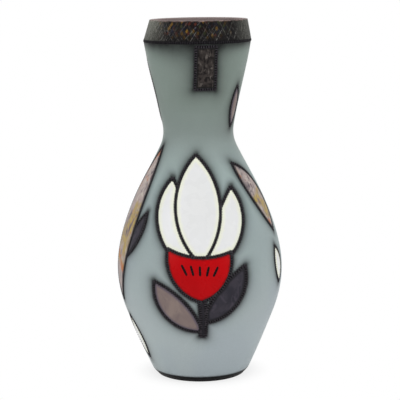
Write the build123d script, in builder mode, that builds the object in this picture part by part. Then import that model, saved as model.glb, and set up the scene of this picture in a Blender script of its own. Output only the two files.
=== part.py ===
from build123d import *
from dataclasses import dataclass
from math import cos, radians, sin, sqrt
import os

# A wheel-thrown vase with a textured collar and inlaid slip ornaments between raised lines.
# Millimetres and degrees, +Z up, origin at the centre of the foot, main ornament facing -Y.
os.makedirs("parts", exist_ok=True)

# Thrown form, stacked from the foot to the lip
foot_radius = 37.2
foot_flare = 4.0
foot_band_height = 5.0
flank_height = 88.0
belly_radius = 69.7
shoulder_height = 113.0
waist_radius = 29.2
neck_height = 77.9
collar_radius = 44.9
collar_height = 16.1
collar_taper = 3.7

# Stations between those heights, each a share of the rise and of the change in radius
flank_shares = ((0.165, 0.236), (0.390, 0.525), (0.682, 0.864))
shoulder_shares = ((0.200, 0.079), (0.430, 0.282), (0.650, 0.562), (0.860, 0.872))
neck_shares = ((0.130, 0.085), (0.330, 0.285), (0.660, 0.665))
arc_pair_count = 8

# Walls, foot and lip
wall_thickness = 5.5
foot_toe = 2.0
foot_ring_width = 7.0
foot_recess = 1.8
foot_edge_round = 0.6
tongue_height = 4.0
collar_thickness = 2.4
collar_line_height = 2.4
lip_width = 5.0
lip_round = 1.2

# Slip work: the pockets turned for it, the fields laid in them and the rouletted lines between
pocket_depth = 1.0
field_proud = 0.3
line_proud = 0.6
line_width = 2.5
slip_gap = 0.05
skin_spread = 130.0
overrun = 5.0

# Main ornament: a bloom on its stem, seen from the front. The half width of each ornament on the
# belly is a share of the belly's radius.
bloom_azimuth = 0.0
bloom_width_share = 0.545
bloom_foot = 40.0
bloom_headroom = 15.0

# Ornaments round the belly: azimuth, half width, height of the foot, room below the waist or height
left_leaf_azimuth = -68.0
left_leaf_width_share = 0.287
left_leaf_foot = 68.0
left_leaf_headroom = 10.0
right_leaf_azimuth = 66.0
right_leaf_width_share = 0.230
right_leaf_foot = 125.0
right_leaf_headroom = 23.0
right_bud_azimuth = 70.0
right_bud_width_share = 0.115
right_bud_foot = 82.0
right_bud_height = 31.0
left_bud_azimuth = -70.0
left_bud_width_share = 0.115
left_bud_foot = 18.0
left_bud_height = 36.0
back_azimuth = 180.0
back_width_share = 0.545
back_foot = 36.0
back_headroom = 16.0

# Ornaments on the neck, measured up from the waist or down from the collar
tab_azimuth = 9.5
tab_half_width = 8.4
tab_length = 35.0
tab_drop = 2.0
neck_bud_azimuth = 62.0
neck_bud_half_width = 6.5
neck_bud_rise = 6.0
neck_bud_height = 34.0
neck_leaf_azimuth = -104.0
neck_leaf_half_width = 14.0
neck_leaf_rise = 9.0
neck_leaf_headroom = 7.0

# Marks on the calyx, as shares of the way from its root to its rim
mark_count = 5
mark_start_share = 0.50
mark_end_share = 0.74
mark_bulge_share = 0.16

# Heights and radii that follow from the sizes above
belly_height = foot_band_height + flank_height
waist_height = belly_height + shoulder_height
collar_foot_height = waist_height + neck_height
ledge_height = collar_foot_height - collar_line_height
vase_height = collar_foot_height + collar_height
lip_radius = collar_radius - collar_taper
foot_band_radius = foot_radius + foot_flare
reach = max(belly_radius, collar_radius) + overrun


def between(low, high, shares):
    """Stations between two (radius, height) points, at the given shares of rise and radius."""
    (low_radius, low_height), (high_radius, high_height) = low, high
    return [
        (low_radius + out * (high_radius - low_radius), low_height + up * (high_height - low_height))
        for up, out in shares
    ]


foot_station = (foot_band_radius, foot_band_height)
belly_station = (belly_radius, belly_height)
waist_station = (waist_radius, waist_height)
collar_station = (collar_radius, collar_foot_height)
stations = [
    foot_station,
    *between(foot_station, belly_station, flank_shares),
    belly_station,
    *between(belly_station, waist_station, shoulder_shares),
    waist_station,
    *between(waist_station, collar_station, neck_shares),
    collar_station,
]
outer_line = Spline(*stations)


def shifted(distance):
    """Places along the outer face moved out by a distance, each with the way the face runs."""
    moved = []
    for step in range(arc_pair_count + 1):
        way_share = step / arc_pair_count
        tangent = outer_line.tangent_at(way_share)
        outward = Vector(tangent.Y, -tangent.X)
        moved.append((outer_line.position_at(way_share) + outward * distance, tangent))
    return moved


def draw_arcs(places):
    """Draw two tangent arcs from each place to the next, into the line being built."""
    for (start, start_way), (end, end_way) in zip(places, places[1:]):
        gap = end - start
        along = gap.dot(start_way + end_way)
        turn = 2 * (1 - start_way.dot(end_way))
        pull = gap.dot(gap) / (along + sqrt(along**2 + turn * gap.dot(gap)))
        joint = (start + end + (start_way - end_way) * pull) / 2
        first = TangentArc(start, joint, tangent=start_way)
        TangentArc(joint, end, tangent=first % 1)


@dataclass
class Panel:
    """The upright plane through the axis that one ornament is drawn on, and the space it fills."""

    azimuth: float
    half_width: float
    foot: float
    height: float

    def plane(self):
        """The drawing plane, with its x to the right and its y up as the viewer sees it."""
        turn = radians(self.azimuth)
        return Plane((0, 0, 0), x_dir=(cos(turn), sin(turn), 0), z_dir=(sin(turn), -cos(turn), 0))

    def point(self, across_share, up_share):
        """A point of the panel from shares of its half width and of its height."""
        return Vector(across_share * self.half_width, self.foot + up_share * self.height)

    def skin(self, low, high):
        """All between the outer face moved out by low and by high, for some way round the panel."""
        turn = radians(self.azimuth - skin_spread / 2)
        side = Plane((0, 0, 0), x_dir=(sin(turn), -cos(turn), 0), z_dir=(-cos(turn), -sin(turn), 0))
        inner = shifted(low)
        outer = shifted(high)
        with BuildPart() as band:
            with BuildSketch(side):
                with BuildLine():
                    draw_arcs(inner)
                    Line(inner[-1][0], outer[-1][0])
                    draw_arcs(outer)
                    Line(outer[0][0], inner[0][0])
                make_face()
            revolve(axis=Axis.Z, revolution_arc=skin_spread)
        return band.part


def arc_shape(corners, bulge_shares):
    """A closed face through corners given anticlockwise.

    Each side is an arc that swells outwards by its share of the side's length, or a line at 0.
    """
    with BuildSketch() as shape:
        with BuildLine():
            for start, end, bulge_share in zip(corners, corners[1:] + corners[:1], bulge_shares):
                if bulge_share:
                    SagittaArc(start, end, -bulge_share * (end - start).length)
                else:
                    Line(start, end)
        make_face()
    return shape.sketch_local


def drawn(panel, point_shares, bulge_shares):
    """A closed face on a panel from shares of the panel."""
    return arc_shape([panel.point(*share) for share in point_shares], bulge_shares)


def write(name, part):
    """Label a finished piece and write it as its own node."""
    part.label = name
    export_step(part, f"parts/{name}.step")


def laid(panel, shape, layer):
    """The part of a layer that a drawn shape covers, seen square to its panel."""
    with BuildPart() as piece:
        with BuildSketch(panel.plane()):
            add(shape)
        extrude(amount=reach)
        add(layer, mode=Mode.INTERSECT)
    return piece.part


def grown(shape, amount):
    """A drawn shape grown by an amount all round, or shrunk where the amount is below zero."""
    with BuildSketch() as result:
        add(shape)
        offset(amount=amount)
    return result.sketch_local


def joined(shapes):
    """Drawn shapes as one."""
    with BuildSketch() as result:
        for shape in shapes:
            add(shape)
    return result.sketch_local


def less(shape, cuts):
    """A drawn shape less all that the cuts cover."""
    with BuildSketch() as result:
        add(shape)
        for cut in cuts:
            add(cut, mode=Mode.SUBTRACT)
    return result.sketch_local


def ornament(line_name, panel, shapes, marks=None):
    """Write the fields of one ornament and the line that runs round and between them.

    Shapes named first lie over those named later. Marks maps the name of a shape to the name and
    the faces of the marks set into it. Returns the pocket that the wall needs for it all.
    """
    marks = marks or {}
    field_skin = panel.skin(slip_gap - pocket_depth, field_proud)
    line_skin = panel.skin(slip_gap - pocket_depth, line_proud)
    fields = []
    covers = []
    for name, shape in shapes.items():
        field = less(grown(shape, -line_width / 2), covers)
        fields.append(field)
        covers.append(grown(shape, line_width / 2))
        if name in marks:
            marks_name, faces = marks[name]
            field = less(field, [faces])
            write(marks_name, laid(panel, faces, line_skin))
        write(name, laid(panel, field, field_skin))
    covered = laid(panel, joined(covers), line_skin)
    with BuildPart() as line:
        add(covered)
        with BuildSketch(panel.plane()):
            for field in fields:
                add(field)
        extrude(amount=reach, mode=Mode.SUBTRACT)
    write(line_name, line.part)
    room = joined(grown(shape, line_width / 2 + slip_gap) for shape in shapes.values())
    return laid(panel, room, panel.skin(-pocket_depth, overrun))


# Bloom: a cup-shaped calyx over three petals, on a stem with a frond at each side
bloom = Panel(
    bloom_azimuth,
    bloom_width_share * belly_radius,
    bloom_foot,
    waist_height - bloom_foot - bloom_headroom,
)
calyx_shares = [(0.02, 0.235), (0.66, 0.50), (-0.68, 0.52)]
bloom_shapes = {
    "calyx": drawn(bloom, point_shares=calyx_shares, bulge_shares=[0.20, -0.10, 0.20]),
    "centre_petal": drawn(
        bloom, point_shares=[(0.03, 0.44), (-0.06, 1.00)], bulge_shares=[0.21, 0.22]
    ),
    "left_petal": drawn(
        bloom, point_shares=[(-0.02, 0.40), (-0.56, 0.88)], bulge_shares=[0.06, 0.30]
    ),
    "right_petal": drawn(
        bloom, point_shares=[(0.04, 0.40), (0.68, 0.83)], bulge_shares=[0.30, 0.05]
    ),
    "stem": drawn(
        bloom,
        point_shares=[(-0.06, 0.30), (-0.01, 0.03), (0.10, 0.03), (0.08, 0.30)],
        bulge_shares=[-0.03, 0, 0.03, 0],
    ),
    "left_frond": drawn(
        bloom, point_shares=[(0.04, 0.06), (-0.98, 0.34)], bulge_shares=[0.12, 0.24]
    ),
    "right_frond": drawn(
        bloom, point_shares=[(0.04, 0.11), (0.96, 0.42)], bulge_shares=[0.24, 0.10]
    ),
}

# Marks on the calyx: short strokes that fan out from its root
calyx_root, right_corner, left_corner = [bloom.point(*share) for share in calyx_shares]
mark_faces = Sketch()
for index in range(mark_count):
    spread_share = (index + 0.5) / mark_count
    aim = left_corner + (right_corner - left_corner) * spread_share - calyx_root
    mark_ends = [calyx_root + aim * mark_start_share, calyx_root + aim * mark_end_share]
    mark_faces += arc_shape(mark_ends, bulge_shares=[mark_bulge_share, mark_bulge_share])
belly_pockets = [
    ornament("bloom_line", bloom, bloom_shapes, {"calyx": ("calyx_marks", mark_faces)})
]

# Left leaf: a long leaf with a short leaflet towards the bloom
left_leaf = Panel(
    left_leaf_azimuth,
    left_leaf_width_share * belly_radius,
    left_leaf_foot,
    waist_height - left_leaf_foot - left_leaf_headroom,
)
left_leaf_shapes = {
    "left_leaf": drawn(
        left_leaf, point_shares=[(-0.30, 0.00), (0.00, 1.00)], bulge_shares=[0.10, 0.13]
    ),
    "left_leaflet": drawn(
        left_leaf, point_shares=[(0.00, 0.28), (0.98, 0.60)], bulge_shares=[0.22, 0.06]
    ),
}
belly_pockets.append(ornament("left_leaf_line", left_leaf, left_leaf_shapes))

# Right leaf and the bud below it
right_leaf = Panel(
    right_leaf_azimuth,
    right_leaf_width_share * belly_radius,
    right_leaf_foot,
    waist_height - right_leaf_foot - right_leaf_headroom,
)
right_leaf_shapes = {
    "right_leaf": drawn(
        right_leaf, point_shares=[(0.60, 0.00), (-0.85, 1.00)], bulge_shares=[0.22, 0.12]
    ),
}
belly_pockets.append(ornament("right_leaf_line", right_leaf, right_leaf_shapes))
right_bud = Panel(
    right_bud_azimuth, right_bud_width_share * belly_radius, right_bud_foot, right_bud_height
)
right_bud_shapes = {
    "right_bud": drawn(
        right_bud, point_shares=[(0.30, 0.00), (-0.30, 1.00)], bulge_shares=[0.24, 0.20]
    ),
}
belly_pockets.append(ornament("right_bud_line", right_bud, right_bud_shapes))

# Left bud, low on the flank
left_bud = Panel(
    left_bud_azimuth, left_bud_width_share * belly_radius, left_bud_foot, left_bud_height
)
left_bud_shapes = {
    "left_bud": drawn(
        left_bud, point_shares=[(0.45, 0.00), (-0.30, 1.00)], bulge_shares=[0.16, 0.22]
    ),
}
belly_pockets.append(ornament("left_bud_line", left_bud, left_bud_shapes))

# Back: a seed in its pod between two fronds
back = Panel(
    back_azimuth,
    back_width_share * belly_radius,
    back_foot,
    waist_height - back_foot - back_headroom,
)
back_shapes = {
    "pod_seed": drawn(
        back, point_shares=[(0.02, 0.34), (0.04, 0.74)], bulge_shares=[0.22, 0.22]
    ),
    "pod": drawn(back, point_shares=[(0.00, 0.12), (0.06, 1.00)], bulge_shares=[0.21, 0.21]),
    "back_left_frond": drawn(
        back, point_shares=[(0.02, 0.04), (-0.98, 0.46)], bulge_shares=[0.10, 0.26]
    ),
    "back_right_frond": drawn(
        back, point_shares=[(0.02, 0.02), (0.98, 0.38)], bulge_shares=[0.26, 0.10]
    ),
}
belly_pockets.append(ornament("back_line", back, back_shapes))

# Tab that hangs from the collar, and the bud and leaf on the neck
tab = Panel(tab_azimuth, tab_half_width, ledge_height - tab_drop - tab_length, tab_length)
tab_shapes = {
    "tab": drawn(
        tab, point_shares=[(-1, 0), (1, 0), (1, 1), (-1, 1)], bulge_shares=[0, 0, 0, 0]
    )
}
neck_pockets = [ornament("tab_line", tab, tab_shapes)]
neck_bud = Panel(
    neck_bud_azimuth, neck_bud_half_width, waist_height + neck_bud_rise, neck_bud_height
)
neck_bud_shapes = {
    "neck_bud": drawn(
        neck_bud, point_shares=[(0.00, 0.00), (0.00, 1.00)], bulge_shares=[0.20, 0.12]
    )
}
neck_pockets.append(ornament("neck_bud_line", neck_bud, neck_bud_shapes))
neck_leaf = Panel(
    neck_leaf_azimuth,
    neck_leaf_half_width,
    waist_height + neck_leaf_rise,
    neck_height - collar_line_height - neck_leaf_rise - neck_leaf_headroom,
)
neck_leaf_shapes = {
    "neck_leaf": drawn(
        neck_leaf, point_shares=[(0.20, 0.00), (0.10, 1.00)], bulge_shares=[0.18, 0.22]
    )
}
neck_pockets.append(ornament("neck_leaf_line", neck_leaf, neck_leaf_shapes))

# Thrown wall from the foot to the lip, before it is parted and cut
outer_face = shifted(0)
inner_face = shifted(-wall_thickness)
inner_foot = inner_face[0][0]
floor_height = inner_foot.Y
seat_radius = inner_foot.X - foot_toe
with BuildPart() as thrown_wall:
    with BuildSketch(Plane.XZ):
        with BuildLine():
            draw_arcs(outer_face)
            Polyline(
                outer_face[-1][0],
                (lip_radius, vase_height),
                (lip_radius - lip_width, vase_height),
                inner_face[-1][0],
            )
            draw_arcs(inner_face)
            Polyline(
                inner_foot,
                (seat_radius, floor_height),
                (seat_radius, foot_band_height),
                outer_face[0][0],
            )
        make_face()
    revolve(axis=Axis.Z)

# The walls meet at the waist in a stepped joint with a tongue on the inside
tongue_radius = waist_radius - wall_thickness / 2
with BuildPart() as belly_wall:
    add(thrown_wall.part)
    with BuildSketch(Plane.XY.offset(waist_height)):
        Circle(reach)
        Circle(tongue_radius - slip_gap, mode=Mode.SUBTRACT)
    extrude(amount=vase_height - waist_height + overrun, mode=Mode.SUBTRACT)
    with BuildSketch(Plane.XY.offset(waist_height + tongue_height)):
        Circle(tongue_radius)
    extrude(amount=vase_height - waist_height, mode=Mode.SUBTRACT)
    for pocket in belly_pockets:
        add(pocket, mode=Mode.SUBTRACT)
write("belly_wall", belly_wall.part)

with BuildPart() as neck_wall:
    add(thrown_wall.part)
    with BuildSketch(Plane.XY):
        Circle(reach)
    extrude(amount=waist_height, mode=Mode.SUBTRACT)
    with BuildSketch(Plane.XY.offset(waist_height)):
        Circle(tongue_radius)
    extrude(amount=tongue_height, mode=Mode.SUBTRACT)
    # Ledge and inner cone that the collar sits on
    with BuildSketch(Plane.XZ):
        with BuildLine():
            Polyline(
                (collar_radius - collar_thickness, ledge_height),
                (reach, ledge_height),
                (reach, vase_height + overrun),
                (lip_radius - collar_thickness, vase_height + overrun),
                (lip_radius - collar_thickness, vase_height),
                (collar_radius - collar_thickness, collar_foot_height),
                close=True,
            )
        make_face()
    revolve(axis=Axis.Z, mode=Mode.SUBTRACT)
    for pocket in neck_pockets:
        add(pocket, mode=Mode.SUBTRACT)
    lip_edges = neck_wall.edges().filter_by(GeomType.CIRCLE).group_by(Axis.Z)[-1]
    fillet(lip_edges.sort_by(SortBy.RADIUS)[0], radius=lip_round)
write("neck_wall", neck_wall.part)

# Dark line that parts the collar from the neck, a bead that stands out past both
collar_seat_radius = collar_radius - collar_thickness + slip_gap
with BuildPart() as collar_line:
    with BuildSketch(Plane.XZ):
        with BuildLine():
            SagittaArc((collar_radius, ledge_height), (collar_radius, collar_foot_height), -line_proud)
            Polyline(
                (collar_radius, collar_foot_height),
                (collar_seat_radius, collar_foot_height),
                (collar_seat_radius, ledge_height),
                (collar_radius, ledge_height),
            )
        make_face()
    revolve(axis=Axis.Z)
write("collar_line", collar_line.part)

# Collar: a tapered band pressed round the lip
with BuildPart() as rim_collar:
    with BuildSketch(Plane.XZ):
        with BuildLine():
            Polyline(
                (collar_seat_radius, collar_foot_height),
                (collar_radius, collar_foot_height),
                (lip_radius, vase_height),
                (lip_radius - collar_thickness + slip_gap, vase_height),
                close=True,
            )
        make_face()
    revolve(axis=Axis.Z)
    collar_edges = rim_collar.edges().filter_by(GeomType.CIRCLE).group_by(Axis.Z)[-1]
    fillet(collar_edges.sort_by(SortBy.RADIUS)[-1], radius=lip_round)
write("rim_collar", rim_collar.part)

# Foot: the floor slab with its dark turned band and a shallow hollow beneath
with BuildPart() as foot_slab:
    with BuildSketch(Plane.XZ):
        with BuildLine():
            Polyline(
                (0, foot_recess),
                (foot_radius - foot_ring_width, foot_recess),
                (foot_radius - foot_ring_width, 0),
                (foot_radius, 0),
                (foot_band_radius, foot_band_height),
                (seat_radius - slip_gap, foot_band_height),
                (seat_radius - slip_gap, floor_height),
                (0, floor_height),
                close=True,
            )
        make_face()
    revolve(axis=Axis.Z)
    foot_edges = foot_slab.edges().filter_by(GeomType.CIRCLE).group_by(Axis.Z)[0]
    fillet(foot_edges, radius=foot_edge_round)
write("foot_slab", foot_slab.part)
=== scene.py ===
"""A waisted studio vase with slip ornaments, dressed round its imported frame.

The thrown wall, the foot, the collar, the glaze fields and the rouletted lines are modelled in
metres on the frame's own profile. Each sub-assembly is a class that builds and dresses its pieces.
"""

import logging
import math
from collections.abc import Callable, Iterator
from contextlib import contextmanager
from dataclasses import dataclass, field
from enum import Enum

import bpy
import numpy as np
from mathutils import Matrix, Vector
from mathutils.bvhtree import BVHTree


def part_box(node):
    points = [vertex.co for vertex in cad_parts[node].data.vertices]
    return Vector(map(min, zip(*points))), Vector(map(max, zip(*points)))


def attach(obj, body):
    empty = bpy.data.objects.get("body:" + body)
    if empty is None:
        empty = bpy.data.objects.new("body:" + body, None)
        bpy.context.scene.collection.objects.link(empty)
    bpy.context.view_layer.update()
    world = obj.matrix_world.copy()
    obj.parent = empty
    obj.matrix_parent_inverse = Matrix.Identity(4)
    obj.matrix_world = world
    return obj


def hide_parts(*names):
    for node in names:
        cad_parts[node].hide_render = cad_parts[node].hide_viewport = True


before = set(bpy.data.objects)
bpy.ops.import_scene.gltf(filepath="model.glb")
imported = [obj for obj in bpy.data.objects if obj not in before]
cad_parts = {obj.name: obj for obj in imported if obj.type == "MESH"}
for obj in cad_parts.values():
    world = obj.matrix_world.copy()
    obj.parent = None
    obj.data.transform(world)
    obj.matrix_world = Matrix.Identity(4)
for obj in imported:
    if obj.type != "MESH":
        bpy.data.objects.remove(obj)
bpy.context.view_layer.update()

MM = 0.001
BODY = "root"
WELD = 0.002 * MM
Array = np.ndarray
Socket = bpy.types.NodeSocket
Section = list[tuple[float, float]]
log = logging.getLogger("vase")


class Slot(Enum):
    """The record's material slots."""

    BODY = "body_glaze"
    FOOT = "foot_slip"
    COLLAR = "collar_slip"
    LINE = "line_slip"
    WHITE = "white_glaze"
    RED = "red_glaze"
    TAUPE = "taupe_glaze"
    OCHRE = "ochre_slip"
    CHARCOAL = "charcoal_slip"
    TAB = "tab_slip"


def to_linear(*levels: float) -> tuple[float, ...]:
    """Turn sRGB levels from 0 to 255 into scene-linear light.

    Args:
        *levels: The sRGB levels.

    Returns:
        The linear levels, from 0 to 1.
    """
    shares = [level / 255 for level in levels]
    return tuple(
        share / 12.92 if share <= 0.04045 else ((share + 0.055) / 1.055) ** 2.4
        for share in shares
    )


def smooth_step(values: Array, low: float, high: float) -> Array:
    """Rise smoothly from 0 where the values are low to 1 where they are high."""
    share = np.clip((values - low) / (high - low), 0, 1)
    return share * share * (3 - 2 * share)


def polar(points: Array) -> tuple[Array, Array]:
    """Give each point's turn from the front to the right, and its distance from the axis."""
    return np.arctan2(points[:, 0], -points[:, 1]), np.hypot(points[:, 0], points[:, 1])


def askew(points: Array, low: float, high: float, shift: float) -> Array:
    """Lean points to the right, by nothing up to low and by the whole shift from high."""
    share = np.clip((points[:, 2] - low) / (high - low), 0, 1)
    return points + np.outer(shift * share, (1, 0, 0))


def inside(points: Array, outline: Array) -> Array:
    """Say which points lie in a closed outline.

    Args:
        points: Points in the plane.
        outline: The outline's points in order.

    Returns:
        True for each point inside.
    """
    result = np.zeros(len(points), bool)
    x, y = points.T
    for (ax, ay), (bx, by) in zip(outline, np.roll(outline, -1, axis=0)):
        if ay != by:
            crosses = (ay > y) != (by > y)
            result ^= crosses & (x < ax + (y - ay) * (bx - ax) / (by - ay))
    return result


def distance(points: Array, targets: Array) -> Array:
    """Give each point's distance to the nearest of many targets.

    Args:
        points: Points in the plane.
        targets: Targets in the plane.

    Returns:
        The distances.
    """
    best = np.full(len(points), np.inf)
    batch = 64
    for start in range(0, len(targets), batch):
        part = targets[start : start + batch]
        gaps = ((points[:, None, :] - part[None, :, :]) ** 2).sum(axis=2)
        best = np.minimum(best, gaps.min(axis=1))
    return np.sqrt(best)


@dataclass(frozen=True)
class Noise:
    """Noise on a piece's coordinates, with the range it is read in and the range it gives."""

    scale: float
    detail: float = 4.0
    rough: float = 0.55
    low: float = 0.3
    high: float = 0.7
    out_low: float = 0.0
    out_high: float = 1.0
    stretch: tuple = ()
    warp: float = 0.0


class Nodes:
    """A node tree in the making."""

    def __init__(self, tree: bpy.types.NodeTree) -> None:
        """Take up a tree."""
        self.tree = tree

    def feed(self, node: bpy.types.Node, inputs: dict[str | int, object]) -> None:
        """Set or link inputs of a node.

        Args:
            node: The node.
            inputs: A value or a socket for each input, by its name or number.
        """
        for key, value in inputs.items():
            if isinstance(value, Socket):
                self.tree.links.new(value, node.inputs[key])
            else:
                node.inputs[key].default_value = value

    def node(self, kind: str, inputs: dict[str | int, object], **settings: object) -> bpy.types.Node:
        """Add a node.

        Args:
            kind: The node's type.
            inputs: A value or a socket for each input that it needs.
            **settings: Properties of the node.

        Returns:
            The new node.
        """
        added = self.tree.nodes.new(f"ShaderNode{kind}")
        for key, value in settings.items():
            setattr(added, key, value)
        self.feed(added, inputs)
        return added

    def math(self, way: str, first: Socket, second: Socket | float) -> Socket:
        """Do one sum on two factors."""
        return self.node("Math", {0: first, 1: second}, operation=way).outputs[0]

    def in_view(self) -> Socket:
        """Give 1 where a ray comes from the camera, a shine or a clear surface."""
        rays = self.node("LightPath", {}).outputs
        bright = self.math("MAXIMUM", rays["Is Camera Ray"], rays["Is Glossy Ray"])
        return self.math("MAXIMUM", bright, rays["Is Transmission Ray"])


class Recipe(Nodes):
    """A material in the making, on the coordinates of its piece."""

    def __init__(self, name: str) -> None:
        """Start a material with a bare surface shader.

        Args:
            name: The material's name.
        """
        self.material = bpy.data.materials.new(name)
        self.material.use_nodes = True
        super().__init__(self.material.node_tree)
        self.shader = self.tree.nodes["Principled BSDF"]
        self.place = self.node("TexCoord", {}).outputs["Object"]

    def noise(self, noise: Noise) -> Socket:
        """Add noise.

        Args:
            noise: What it is like.

        Returns:
            Its factor, before any spread.
        """
        place = self.place
        if noise.stretch:
            place = self.node("Mapping", {"Vector": place, "Scale": noise.stretch}).outputs["Vector"]
        inputs = {
            "Vector": place, "Scale": noise.scale, "Detail": noise.detail,
            "Roughness": noise.rough, "Distortion": noise.warp,
        }
        return self.node("TexNoise", inputs).outputs["Fac"]

    def spread(
        self, factor: Socket, low: float, high: float, out_low: float = 0.0, out_high: float = 1.0
    ) -> Socket:
        """Spread a factor smoothly from one range to another, clamped."""
        inputs = {
            "Value": factor, "From Min": low, "From Max": high, "To Min": out_low, "To Max": out_high
        }
        return self.node("MapRange", inputs, interpolation_type="SMOOTHSTEP").outputs["Result"]

    def mottle(self, noise: Noise) -> Socket:
        """Add noise and spread it between its ranges."""
        return self.spread(self.noise(noise), noise.low, noise.high, noise.out_low, noise.out_high)

    def mix(
        self, factor: Socket | Noise, first: Socket | tuple, second: Socket | tuple, way: str = "MIX"
    ) -> Socket:
        """Mix two colours.

        Args:
            factor: How much of the second shows.
            first: A socket or sRGB levels.
            second: A socket or sRGB levels.
            way: The blend type.

        Returns:
            The mixed colour.
        """
        if isinstance(factor, Noise):
            factor = self.mottle(factor)
        first, second = (
            tone if isinstance(tone, Socket) else (*to_linear(*tone), 1.0) for tone in (first, second)
        )
        inputs = {0: factor, 6: first, 7: second}
        return self.node("Mix", inputs, data_type="RGBA", blend_type=way).outputs[2]

    def attribute(self, name: str, output: str = "Fac") -> Socket:
        """Read an attribute of the mesh."""
        return self.node("Attribute", {}, attribute_name=name).outputs[output]

    def height(self) -> Socket:
        """Give the height over the table, in metres."""
        return self.node("SeparateXYZ", {0: self.place}).outputs["Z"]

    def ramp(self, factor: Socket, stops: tuple[float, ...], tones: tuple[tuple, ...]) -> Socket:
        """Pick a colour from a ramp.

        Args:
            factor: The factor that picks it.
            stops: The tones' places on the ramp.
            tones: sRGB levels.

        Returns:
            The colour.
        """
        added = self.node("ValToRGB", {"Fac": factor})
        band = added.color_ramp
        while len(band.elements) < len(stops):
            band.elements.new(0.5)
        for element, stop, tone in zip(band.elements, stops, tones):
            element.position = stop
            element.color = (*to_linear(*tone), 1.0)
        return added.outputs["Color"]

    def surface(self, color: Socket, dull: tuple, *relief: tuple) -> None:
        """Send a colour, a roughness and bumps to the shader.

        Args:
            color: The colour.
            dull: A noise, and the roughness where it is low and where it is high.
            *relief: A noise for each bump, its depth in metres and its strength.
        """
        source, smooth, rough = dull
        inputs = {
            "Base Color": color,
            "Roughness": self.spread(self.noise(source), Noise.low, Noise.high, smooth, rough),
        }
        below = {}
        for noise, depth, strength in relief:
            bump = {"Height": self.noise(noise), "Distance": depth, "Strength": strength}
            below = {"Normal": self.node("Bump", {**bump, **below}).outputs["Normal"]}
        self.feed(self.shader, {**inputs, **below})


@dataclass(frozen=True)
class Finish:
    """What every finish holds: its name and slot, and how much it mirrors. Tones are sRGB."""

    name: str
    slot: Slot
    sheen: float = 0.25

    def make(self) -> bpy.types.Material:
        """Build the material, or give the one built before.

        Returns:
            The finished material.
        """
        title = f"fired_{self.name}"
        found = bpy.data.materials.get(title)
        if found:
            return found
        recipe = Recipe(title)
        recipe.feed(recipe.shader, {"Specular IOR Level": self.sheen})
        self.mix(recipe)
        return recipe.material

    def mix(self, recipe: Recipe) -> None:
        """Fill in the recipe."""
        raise NotImplementedError


@dataclass(frozen=True)
class BodyGlaze(Finish):
    """Matt grey-green glaze, bluer on the belly and painted paler low down with light from the table;
    airbrushed shade round the lines and under the collar, and painted shade under the collar and over
    the foot.
    """

    lip_height: float = 300 * MM
    # Painted light: the tones pale towards the foot, standing in for light bounced up from the white
    # table.
    heights: tuple = (0.0, 0.14, 0.40, 0.56, 0.69, 0.78, 1.0)
    tones: tuple = (
        (178, 187, 188), (178, 187, 188), (161, 173, 173), (170, 185, 183),
        (138, 148, 144), (133, 144, 137), (133, 144, 137),
    )
    cloud: Noise = Noise(22, 3, 0.5, out_high=0.22)
    pale: tuple = (176, 188, 184)
    drift: Noise = Noise(13, 2, 0.5, 0.45, 0.62, 0.0, 0.2)
    drift_heights: tuple = (0.10, 0.20)
    cool: tuple = (158, 164, 182)
    grain: Noise = Noise(1400, 2, 0.6, 0.35, 0.65, 0.0, 0.10)
    grain_tone: tuple = (96, 104, 100)
    breath: Noise = Noise(70, 3, 0.6, out_low=0.88)
    shade: tuple = (17, 18, 18)
    dull: tuple = (Noise(60, 3), 0.42, 0.52)
    waves: tuple = (Noise(55, 3, 0.4, stretch=(1, 1, 4)), 0.25 * MM, 0.35)
    pores: tuple = (Noise(900, 2, 0.5), 0.02 * MM, 0.5)

    def mix(self, recipe: Recipe) -> None:
        """Blend the tones by height, mottle them and lay the shade over them."""
        height = recipe.height()
        share = recipe.math("DIVIDE", height, self.lip_height)
        base = recipe.ramp(share, self.heights, self.tones)
        base = recipe.mix(self.cloud, base, self.pale, "SOFT_LIGHT")
        low = recipe.spread(height, *self.drift_heights, 1.0, 0.0)
        drift = recipe.math("MULTIPLY", recipe.mottle(self.drift), low)
        base = recipe.mix(drift, base, self.cool)
        base = recipe.mix(self.grain, base, self.grain_tone)
        # The halo lays airbrushed shade round the lines, and painted shade under the collar and above
        # the foot, over the glaze.
        halo = recipe.math("MULTIPLY", recipe.attribute("halo"), recipe.mottle(self.breath))
        recipe.surface(recipe.mix(halo, base, self.shade), self.dull, self.waves, self.pores)


@dataclass(frozen=True)
class BareClay(Finish):
    """Red-brown clay inside the vase, with fine throwing lines and specks."""

    rings: Noise = Noise(70, stretch=(0.2, 0.2, 5), rough=0.6, warp=0.3)
    dark: tuple = (102, 88, 86)
    light: tuple = (166, 150, 147)
    specks: Noise = Noise(1800, 2, 0.7, 0.62, 0.72, 0.0, 0.5)
    speck: tuple = (40, 28, 26)
    dull: tuple = (Noise(300), 0.6, 0.8)
    ring_depth: float = 0.5 * MM

    def mix(self, recipe: Recipe) -> None:
        """Mix two clays along the throwing lines and speckle them."""
        base = recipe.mix(self.rings, self.dark, self.light)
        color = recipe.mix(self.specks, base, self.speck)
        recipe.surface(color, self.dull, (self.rings, self.ring_depth, 0.5))


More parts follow.
